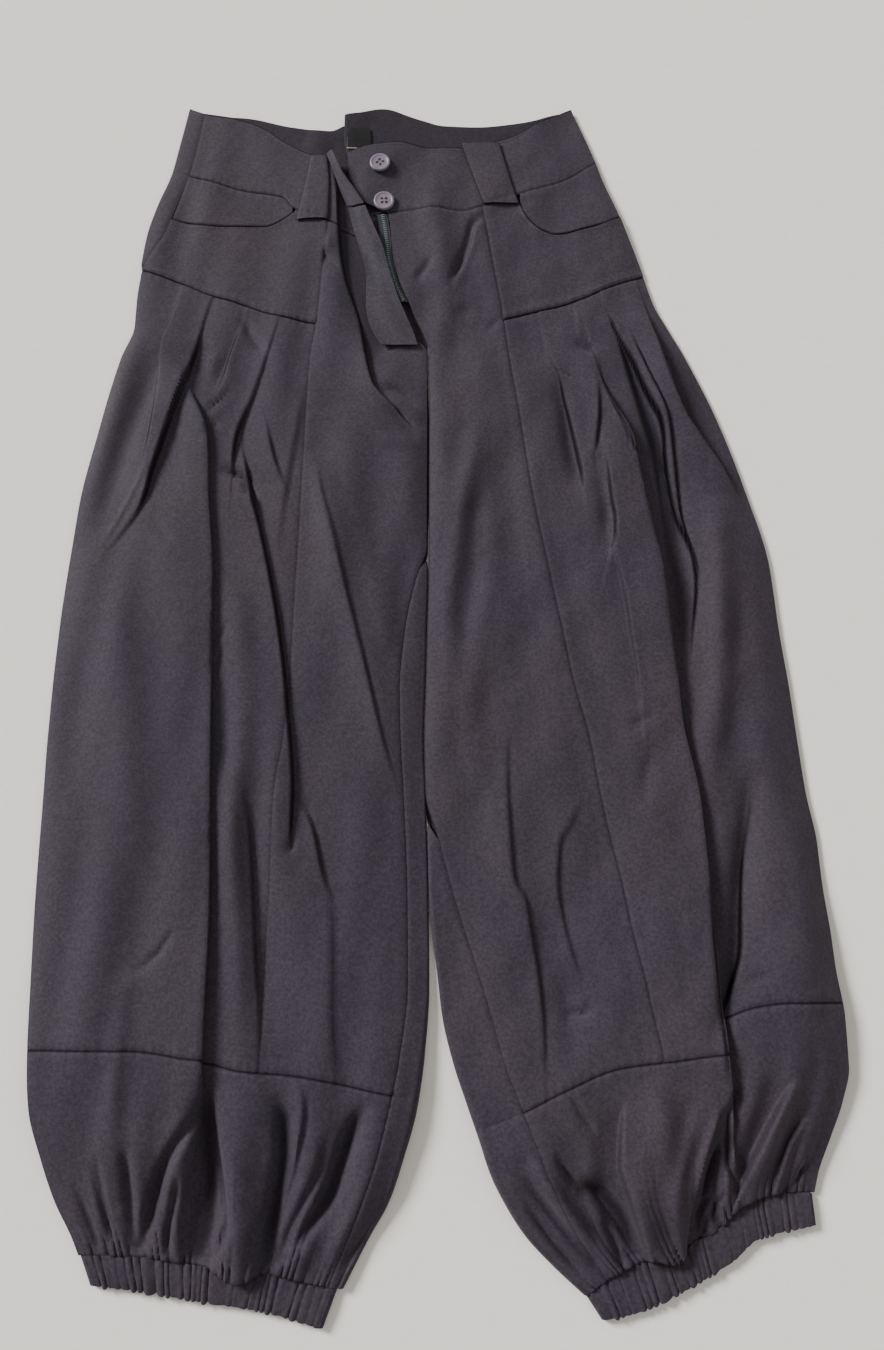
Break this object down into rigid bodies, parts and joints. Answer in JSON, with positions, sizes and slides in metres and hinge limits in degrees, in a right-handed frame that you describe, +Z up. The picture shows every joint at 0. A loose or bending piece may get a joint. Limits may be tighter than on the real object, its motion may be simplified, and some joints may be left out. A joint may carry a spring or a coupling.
{
  "type": "balloon trousers",
  "caption": "Loose balloon-leg trousers laid flat with the fly open: pleated side panels, curved pockets, deep hem bands and gathered cuffs.",
  "frame": {"origin": "middle of the trousers' bounding box, at its lowest plane, on the surface they lie on", "axes": "+X towards the wearer's left leg (the picture's right), +Y from the cuffs to the waistband, +Z up, away from the surface"},
  "size_m": [0.584, 0.974, 0.0154],
  "materials": {
    "cloth": "dark purple-grey plain weave with a soft sheen",
    "facing": "the same cloth, inside face",
    "button": "mauve-grey, slightly glossy",
    "zip_tape": "woven tape",
    "zip_teeth": "teal-grey coil",
    "label": "black, blank"
  },
  "bodies": {
    "root": {"back_left": "cloth", "back_right": "cloth", "belt_loop_left": "cloth", "belt_loop_right": "cloth", "button_1": "button", "button_2": "button", "cuff_left": "cloth", "cuff_right": "cloth", "fly_flap": "facing", "front_centre_left": "cloth", "front_centre_right": "cloth", "front_side_left": "cloth", "front_side_right": "cloth", "hem_band_back_left": "cloth", "hem_band_back_right": "cloth", "hem_band_front_left": "cloth", "hem_band_front_right": "cloth", "hip_yoke_left": "cloth", "hip_yoke_right": "cloth", "label": "label", "pocket_facing_left": "facing", "pocket_facing_right": "facing", "waistband_back": "facing", "waistband_end_right": "facing", "waistband_front_left": "cloth", "waistband_front_right": "cloth", "zip_tape": "zip_tape", "zip_teeth": "zip_teeth"}
  },
  "joints": []
}
